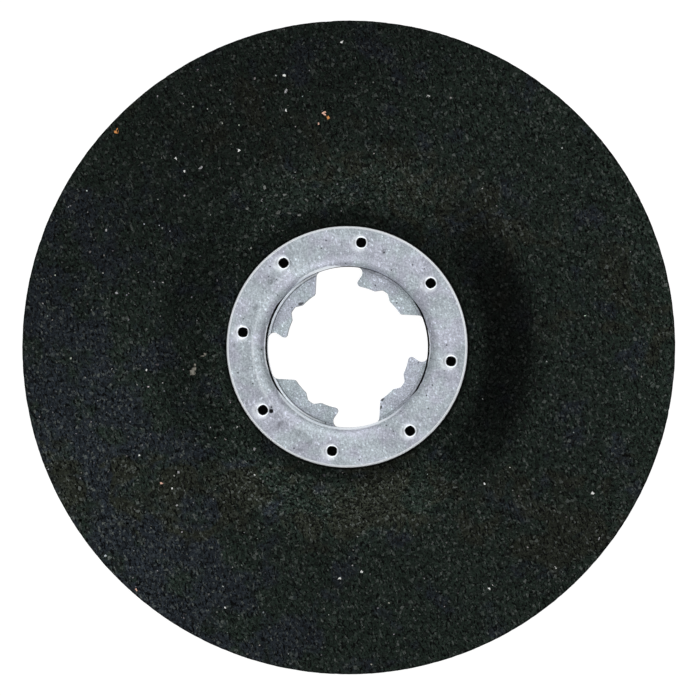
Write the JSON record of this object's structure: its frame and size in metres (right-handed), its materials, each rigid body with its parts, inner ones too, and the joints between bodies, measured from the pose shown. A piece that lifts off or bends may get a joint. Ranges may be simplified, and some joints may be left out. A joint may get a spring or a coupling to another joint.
{
  "type": "cut-off wheel",
  "caption": "Depressed-centre cut-off wheel: a thin, coarse black resin-bonded abrasive disc held on a pressed steel hub with a lobed quick-change opening.",
  "frame": {"origin": "on the wheel's axis, at the back face of the hub plate, which it lies on", "axes": "+Z along the axis, out of the recessed working side; +X to the right and +Y up as the picture shows the working side"},
  "size_m": [0.115, 0.115, 0.0086],
  "materials": {
    "abrasive": "coarse resin-bonded grit, matt, nearly black",
    "ring_steel": "galvanised sheet, dull and mottled, with a bluish cast",
    "plate_steel": "galvanised sheet, dull and finely granular"
  },
  "bodies": {
    "root": {"abrasive_body": "abrasive", "front_ring": "ring_steel", "hub_plate": "plate_steel"}
  },
  "joints": []
}
